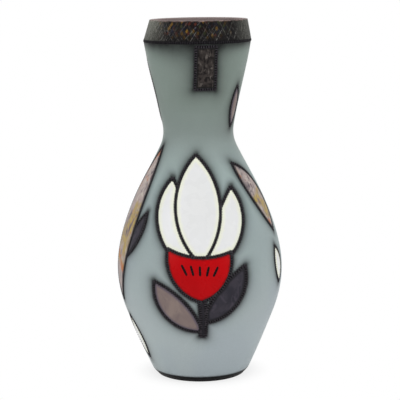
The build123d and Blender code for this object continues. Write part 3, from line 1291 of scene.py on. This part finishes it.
@dataclass
class Collar:
    """The band pressed round the lip, combed both ways and rubbed with colour, with a painted sheen on
    its sides.
    """

    ledge: float
    low: float
    high: float
    radius: float
    lip_radius: float
    lean: float
    thickness: float = 2.35 * MM
    lip_round: float = 1.2 * MM
    chamfer: float = 1.0 * MM
    skin: tuple = (-0.9 * MM, -0.2 * MM)
    steps: int = 900
    rows: int = 42
    cells: int = 104
    slant: float = 0.26
    seed: int = 11
    pressed: float = 0.34 * MM
    wobble: float = 0.10 * MM
    bold_depth: float = 0.38 * MM
    fine_depth: float = 0.20 * MM
    combs: tuple = (
        (52, 0.26, 0.3, 0.42 * MM), (52, -0.26, 0.3, 0.42 * MM),
        (172, 0.22, 0.5, 0.40 * MM), (172, -0.26, 0.5, 0.40 * MM),
    )
    dark: tuple = (14, 12, 13)
    # Painted sheen: the light grey laid over the collar's left and right sides.
    sheen_gray: tuple = (128, 129, 119)
    worn: tuple = (158, 132, 126)
    tints: tuple = ((124, 92, 32), (84, 42, 32), (62, 66, 38), (28, 29, 46), (54, 43, 38))
    weights: tuple = (0.14, 0.20, 0.18, 0.16, 0.32)

    def profile(self) -> Section:
        """Give the collar's closed section.

        Returns:
            Radius and height of each point.
        """
        lip, drop = self.lip_radius, self.lip_round * 0.6
        outer = [
            (
                self.radius + (lip - self.radius) * share,
                self.low + (self.high - drop - self.low) * share,
            )
            for share in np.linspace(0, 1, self.rows)
        ]
        curve = [
            (lip - self.lip_round * (1 - math.cos(turn)), self.high - drop * (1 - math.sin(turn)))
            for turn in np.linspace(0.15, math.pi / 2, 7)
        ]
        inner = [
            (lip - self.thickness, self.high),
            (lip - self.thickness, self.high - self.chamfer),
            (self.radius - self.thickness, self.low + self.chamfer),
            (self.radius - self.thickness, self.low),
        ]
        return outer + curve + inner

    def comb(
        self, turn: Array, rise: Array, random: np.random.Generator,
        count: int, lean: float, jitter: float, width: float,
    ) -> Array:
        """Comb slanted strokes round the collar.

        Args:
            turn: Angle of each vertex.
            rise: Share of the height of each vertex.
            random: The source of chance.
            count: How many strokes.
            lean: Turn gained from the bottom to the top, in radians.
            jitter: How uneven their places are.
            width: Half the width of a stroke, in metres.

        Returns:
            How deep the strokes cut at each vertex, from 0 to 1.
        """
        starts = (np.arange(count) + random.uniform(-jitter, jitter, count)) * math.tau / count
        leans = lean * (1 + random.uniform(-0.25, 0.25, count))
        powers = random.uniform(0.25, 1.0, count)
        lows = random.uniform(-0.5, 0.5, count)
        highs = lows + random.uniform(0.4, 1.2, count)
        depth = np.zeros(len(turn))
        for start, tilt, power, low, high in zip(starts, leans, powers, lows, highs):
            off = (turn - start - tilt * (rise - 0.5) + math.pi) % math.tau - math.pi
            cut = power * np.clip(1 - np.abs(off) * self.radius / width, 0, 1)
            depth = np.maximum(depth, np.where((rise > low) & (rise < high), cut, 0))
        return depth

    def build(self) -> None:
        """Spin, comb, tint and dress the collar."""
        random = np.random.default_rng(self.seed)
        piece = Clay.spin("pressed_collar", self.profile(), self.steps)
        points = piece.points
        turn, radii = polar(points)
        rise = (points[:, 2] - self.low) / (self.high - self.low)
        face = self.radius + (self.lip_radius - self.radius) * np.clip(rise, 0, 1)
        outside = smooth_step(radii - face, *self.skin) * smooth_step(1 - rise, 0.0, 0.03)
        crossed = smooth_step(np.cos(turn), 0.3, 0.9)
        cuts = [self.comb(turn, rise, random, *comb) for comb in self.combs]
        bold = np.maximum(cuts[0], cuts[1] * crossed * 0.4)
        fine = np.maximum(cuts[2], cuts[3] * crossed)
        wobble = self.wobble * np.sin(turn * 7 + 1.3) * np.sin(rise * 5 + turn * 2)
        depth = self.pressed + self.bold_depth * bold + self.fine_depth * fine
        scale = (radii + outside * (wobble - depth)) / radii
        points[:, :2] *= scale[:, None]
        piece.move(askew(points, self.ledge, self.high, self.lean))
        # Painted highlight: the fine scratches are brightened towards the left and right sides and the
        # bold ones towards the right, over their own pale colour.
        side = np.sin(turn)
        left, right = smooth_step(-side, 0.35, 0.9), smooth_step(side, 0.55, 0.98)
        lit = bold * (0.70 + 0.30 * side) + fine * (0.10 + 0.70 * left + 0.32 * right)
        piece.mark("scratch_and_highlight", np.clip(outside * lit, 0, 1))
        self.rub_and_sheen(piece, turn, rise, random)
        piece.dress(COLLAR_SLIP, "rim_collar", sharp=50.0)

    def rub_and_sheen(
        self, piece: Clay, turn: Array, rise: Array, random: np.random.Generator
    ) -> None:
        """Give every small diamond its own tint, strongest high on the front and the back, over a
        painted sheen on the left and right sides.

        Args:
            piece: The collar.
            turn: Angle of each vertex.
            rise: Share of the height of each vertex.
            random: The source of chance.
        """
        dark, sheen_gray, worn, *tints = (
            np.array(to_linear(*tone)) for tone in (self.dark, self.sheen_gray, self.worn, *self.tints)
        )
        slant = self.slant * (rise - 0.5)
        first, second = (
            np.floor((turn + way * slant) * self.cells / math.tau).astype(int) % self.cells
            for way in (-1, 1)
        )
        shape = (self.cells, self.cells)
        pick = random.choice(len(tints), size=shape, p=np.divide(self.weights, sum(self.weights)))
        power = random.uniform(0.1, 1.0, shape) ** 2.2
        zone = smooth_step(np.abs(np.cos(turn + 0.10)), 0.60, 0.97)
        strength = power[first, second] * zone * smooth_step(rise, 0.0, 0.55)
        # Painted sheen: a light grey over the left and right sides, where the collar mirrors the
        # bright room, stronger to the left and higher up.
        side = np.sin(turn)
        left, right = smooth_step(-side, 0.55, 1.0), smooth_step(side, 0.62, 1.0)
        sheen = (left + 0.44 * right) * (0.50 + 0.50 * rise)
        broken = 0.45 + 0.55 * np.sin(turn * 9 + 1) * np.sin(turn * 23)
        lip = smooth_step(rise, 0.93, 1.0) * np.clip(broken, 0.15, 1)
        mixed = dark + (sheen_gray - dark) * sheen[:, None]
        mixed += (np.array(tints)[pick[first, second]] - mixed) * strength[:, None]
        mixed += (worn - mixed) * lip[:, None]
        layer = piece.body.data.color_attributes.new("tint_and_sheen", "FLOAT_COLOR", "POINT")
        solid = np.column_stack([mixed, np.ones(len(mixed))])
        layer.data.foreach_set("color", solid.astype(np.float32).ravel())


@dataclass
class CollarLine:
    """The dark rouletted bead between the collar and the neck."""

    low: Vector
    high: Vector
    inner: float
    proud: float
    top: float
    lean: float
    teeth: int = 142
    facets: int = 6
    dip: float = 0.25 * MM
    rubbed: float = 0.55 * MM
    highlight_share: float = 0.45

    def build(self) -> None:
        """Spin the bead, press its teeth and dress it."""
        outer = self.high.x - self.rubbed
        middle, half = (self.low.z + self.high.z) / 2, (self.high.z - self.low.z) / 2
        bow = [
            (outer - self.proud * (1 - math.cos(turn)), middle + half * math.sin(turn))
            for turn in np.linspace(-math.pi / 2, math.pi / 2, 9)
        ]
        profile = [(self.inner, self.low.z), *bow, (self.inner, self.high.z)]
        piece = Clay.spin("rouletted_collar_line", profile, self.teeth * self.facets)
        points = piece.points
        turn, radii = polar(points)
        skin = smooth_step(radii, outer - self.proud, outer)
        tooth = 0.5 + 0.5 * np.cos(turn * self.teeth)
        points[:, :2] *= (1 - self.dip * skin * (1 - tooth) / radii)[:, None]
        piece.move(askew(points, self.low.z, self.top, self.lean))
        # Painted highlight on the top of each tooth of the bead.
        piece.mark("tooth_highlight", self.highlight_share * skin * tooth)
        piece.dress(LINE_SLIP, "collar_line", sharp=50.0)


@dataclass
class Studio:
    """Camera, lights and a white table."""

    camera_distance: float = 1.224
    camera_height: float = 0.348
    camera_shift: float = 0.75 * MM
    tilt_degrees: float = 9.28
    roll_degrees: float = -0.67
    focal_pixels: float = 1467.2
    image_pixels: float = 400.0
    sensor_mm: float = 36.0
    aim: tuple = (0, 0, 0.15)
    lamps: tuple = (
        ("left_softbox", (-1.3, -1.0, 0.9), 1.2, 9.5),
        ("right_softbox", (1.4, -0.9, 0.9), 1.2, 9.5),
        ("top_softbox", (0.0, -0.2, 1.7), 1.4, 8.5),
    )
    white: tuple = (1, 1, 1, 1)
    sky: tuple = (0.96, 0.98, 1.0, 1)
    sky_strength: float = 0.42
    table_radius: float = 6.0
    table_border: float = 5.0
    table_tone: tuple = (0.93, 0.93, 0.93, 1)
    shadow_reach: tuple = (0.036, 0.062)
    shadow_glow: float = 0.78

    def stand_camera(self) -> None:
        """Stand the camera where the photograph was taken from."""
        spot = (self.camera_shift, -self.camera_distance, self.camera_height)
        bpy.ops.object.camera_add(location=spot)
        camera = bpy.context.active_object
        camera.name = "studio_camera"
        camera.data.sensor_width = self.sensor_mm
        camera.data.lens = self.focal_pixels * self.sensor_mm / self.image_pixels
        camera.rotation_mode = "XYZ"
        tilt = math.radians(self.tilt_degrees)
        look = Vector((0, math.cos(tilt), -math.sin(tilt)))
        turn = look.to_track_quat("-Z", "Y").to_matrix().to_4x4()
        turn = turn @ Matrix.Rotation(math.radians(self.roll_degrees), 4, "Z")
        camera.rotation_euler = turn.to_euler("XYZ")
        bpy.context.scene.camera = camera

    def hang_lamps(self) -> None:
        """Light the vase softly from above and both sides."""
        for name, spot, size, power in self.lamps:
            bpy.ops.object.light_add(type="AREA", location=spot)
            lamp = bpy.context.active_object
            lamp.name = name
            lamp.data.shape = "SQUARE"
            lamp.data.size = size
            lamp.data.energy = power
            way = Vector(self.aim) - Vector(spot)
            lamp.rotation_euler = way.to_track_quat("-Z", "Y").to_euler()

    def whiten_room(self) -> None:
        """Make the surroundings white to the camera and softer to the vase."""
        world = bpy.data.worlds.new("white_room")
        bpy.context.scene.world = world
        world.use_nodes = True
        world.node_tree.nodes.clear()
        room = Nodes(world.node_tree)
        soft, seen = (
            room.node("Background", {"Color": color, "Strength": strength}).outputs[0]
            for color, strength in ((self.sky, self.sky_strength), (self.white, 1.0))
        )
        mixed = room.node("MixShader", {"Fac": room.in_view(), 1: soft, 2: seen}).outputs[0]
        room.node("OutputWorld", {"Surface": mixed})

    def lay_table(self) -> None:
        """Lay the white table, plain white to the camera away from the vase."""
        clear()
        bpy.ops.mesh.primitive_circle_add(vertices=96, radius=self.table_radius, fill_type="NGON")
        table = bpy.context.active_object
        table.name = "white_table"
        with Clay(table).opened():
            bpy.ops.mesh.inset(thickness=self.table_border)
        recipe = Recipe("white_table_top")
        plain = {"Base Color": self.table_tone, "Roughness": 0.6, "Specular IOR Level": 0.2}
        recipe.feed(recipe.shader, plain)
        glow = recipe.node("Emission", {"Color": self.white, "Strength": 1.0}).outputs[0]
        reach = recipe.node("VectorMath", {0: recipe.place}, operation="LENGTH").outputs["Value"]
        far = recipe.spread(reach, *self.shadow_reach, self.shadow_glow)
        seen = recipe.math("MULTIPLY", far, recipe.in_view())
        inputs = {"Fac": seen, 1: recipe.shader.outputs["BSDF"], 2: glow}
        mixed = recipe.node("MixShader", inputs).outputs[0]
        recipe.feed(recipe.tree.nodes["Material Output"], {"Surface": mixed})
        table.data.materials.append(recipe.material)

    def build(self) -> None:
        """Set up the whole studio."""
        self.stand_camera()
        self.hang_lamps()
        self.whiten_room()
        self.lay_table()
        bpy.context.scene.view_settings.view_transform = "Standard"


@dataclass
class Vase:
    """The whole vase, from the frame's boxes."""

    belly: float = 69.7 * MM
    wall_thickness: float = 5.5 * MM
    lip_inset: float = 3.7 * MM
    collar_seat: float = 2.4 * MM
    floor_gap: float = 2.05 * MM
    lean: float = 1.3 * MM
    end_gap: float = 0.02 * MM
    bloom_line: float = 1.85 * MM
    tab_shade: float = 4.8 * MM

    def __post_init__(self) -> None:
        """Read the sizes that the pieces share."""
        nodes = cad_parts
        self.line_low, self.line_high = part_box("collar_line")
        self.collar_low, self.collar_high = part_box("rim_collar")
        self.foot_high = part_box("foot_slab")[1]
        self.wall_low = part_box("belly_wall")[0].z
        self.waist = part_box("neck_wall")[0].z
        self.ledge = self.line_low.z
        self.wall = Silhouette(
            [nodes["belly_wall"], nodes["neck_wall"]],
            self.wall_low + self.end_gap, self.ledge - self.end_gap,
        )

    def panel(self, azimuth: float, width: float, foot: float, headroom: float) -> Panel:
        """Give a panel on the belly, as wide as a share of it, that ends below the waist."""
        return Panel(azimuth, width * self.belly, foot, self.waist - foot - headroom)

    def bloom(self) -> Ornament:
        """Draw the bloom: a calyx over three petals, a stem and two fronds."""
        panel = self.panel(0.0, 0.545, 40 * MM, 15 * MM)
        calyx = ((0.02, 0.235), (0.66, 0.50), (-0.68, 0.52))
        stem = ((-0.06, 0.30), (-0.01, 0.03), (0.10, 0.03), (0.08, 0.30))
        shapes = (
            Shape("calyx", calyx, (0.20, -0.10, 0.20), RED),
            Shape("centre_petal", ((0.03, 0.44), (-0.06, 1.00)), (0.21, 0.22), WHITE),
            Shape("left_petal", ((-0.02, 0.40), (-0.56, 0.88)), (0.06, 0.30), WHITE),
            Shape("right_petal", ((0.04, 0.40), (0.68, 0.83)), (0.30, 0.05), WHITE),
            Shape("stem", stem, (-0.03, 0, 0.03, 0), CHARCOAL),
            Shape("left_frond", ((0.04, 0.06), (-0.98, 0.34)), (0.12, 0.24), TAUPE),
            Shape("right_frond", ((0.04, 0.11), (0.96, 0.42)), (0.24, 0.10), CHARCOAL),
        )
        root, right, left = (panel.point(corner) for corner in calyx)
        count, near, far = 5, 0.50, 0.74
        aims = [left + (right - left) * (place + 0.5) / count - root for place in range(count)]
        marks = ("calyx_marks", tuple((root + aim * near, root + aim * far) for aim in aims))
        return Ornament("bloom_line", panel, self.wall, shapes, marks, self.bloom_line)

    def belly_ornaments(self) -> list[Ornament]:
        """Draw the leaves and buds round the belly, and the pod at the back."""
        bud_width = 0.115 * self.belly
        left_leaf = self.panel(-68.0, 0.287, 68 * MM, 10 * MM)
        right_leaf = self.panel(66.0, 0.230, 125 * MM, 23 * MM)
        right_bud = Panel(70.0, bud_width, 82 * MM, 31 * MM)
        left_bud = Panel(-70.0, bud_width, 18 * MM, 36 * MM)
        back = self.panel(180.0, 0.545, 36 * MM, 16 * MM)
        return [
            Ornament("left_leaf_line", left_leaf, self.wall, (
                Shape("left_leaf", ((-0.30, 0.00), (0.00, 1.00)), (0.10, 0.13), OCHRE),
                Shape("left_leaflet", ((0.00, 0.28), (0.98, 0.60)), (0.22, 0.06), CHARCOAL),
            )),
            Ornament("right_leaf_line", right_leaf, self.wall, (
                Shape("right_leaf", ((0.60, 0.00), (-0.85, 1.00)), (0.22, 0.12), OCHRE),
            )),
            Ornament("right_bud_line", right_bud, self.wall, (
                Shape("right_bud", ((0.30, 0.00), (-0.30, 1.00)), (0.24, 0.20), WHITE),
            )),
            Ornament("left_bud_line", left_bud, self.wall, (
                Shape("left_bud", ((0.45, 0.00), (-0.30, 1.00)), (0.16, 0.22), WHITE),
            )),
            Ornament("back_line", back, self.wall, (
                Shape("pod_seed", ((0.02, 0.34), (0.04, 0.74)), (0.22, 0.22), RED),
                Shape("pod", ((0.00, 0.12), (0.06, 1.00)), (0.21, 0.21), WHITE),
                Shape("back_left_frond", ((0.02, 0.04), (-0.98, 0.46)), (0.10, 0.26), TAUPE),
                Shape("back_right_frond", ((0.02, 0.02), (0.98, 0.38)), (0.26, 0.10), OCHRE),
            )),
        ]

    def neck_ornaments(self) -> list[Ornament]:
        """Draw the tab under the collar, and the bud and leaf on the neck."""
        tab_length, tab_drop = 35.0 * MM, 2.0 * MM
        tab = Panel(9.5, 8.4 * MM, self.ledge - tab_drop - tab_length, tab_length)
        bud = Panel(62.0, 6.5 * MM, self.waist + 6 * MM, 34 * MM)
        leaf_rise, leaf_headroom = 9 * MM, 7 * MM
        leaf_length = self.ledge - self.waist - leaf_rise - leaf_headroom
        leaf = Panel(-104.0, 14 * MM, self.waist + leaf_rise, leaf_length)
        return [
            Ornament("tab_line", tab, self.wall, (
                Shape("tab", ((-1, 0), (1, 0), (1, 1), (-1, 1)), (0, 0, 0, 0), TAB_SLIP),
            ), spread=self.tab_shade),
            Ornament("neck_bud_line", bud, self.wall, (
                Shape("neck_bud", ((0.00, 0.00), (0.00, 1.00)), (0.20, 0.12), TAUPE),
            )),
            Ornament("neck_leaf_line", leaf, self.wall, (
                Shape("neck_leaf", ((0.20, 0.00), (0.10, 1.00)), (0.18, 0.22), TAUPE),
            )),
        ]

    def build(self) -> None:
        """Build every piece of the vase in order."""
        collar_radius, top = self.collar_high.x, self.collar_high.z
        lip_radius = collar_radius - self.lip_inset
        seat_low, seat_high = collar_radius - self.collar_seat, lip_radius - self.collar_seat
        ornaments = [self.bloom(), *self.belly_ornaments(), *self.neck_ornaments()]
        ThrownWall(
            self.wall, ornaments, self.ledge, seat_low, seat_high, top, self.lean, self.wall_thickness
        ).build()
        floor_radius = self.wall.offset(-self.wall_thickness)[0][0] - self.floor_gap
        Foot(self.foot_high.z, self.foot_high.x, self.wall_low, floor_radius).build()
        Collar(self.ledge, self.collar_low.z, top, collar_radius, lip_radius, self.lean).build()
        proud = self.line_high.x - collar_radius
        CollarLine(self.line_low, self.line_high, seat_low, proud, top, self.lean).build()
        for ornament in ornaments:
            ornament.build()


def main() -> None:
    """Build the vase and its studio."""
    logging.basicConfig(level=logging.INFO, format="%(message)s")
    Vase().build()
    Studio().build()
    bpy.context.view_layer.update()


if __name__ == "__main__":
    main()
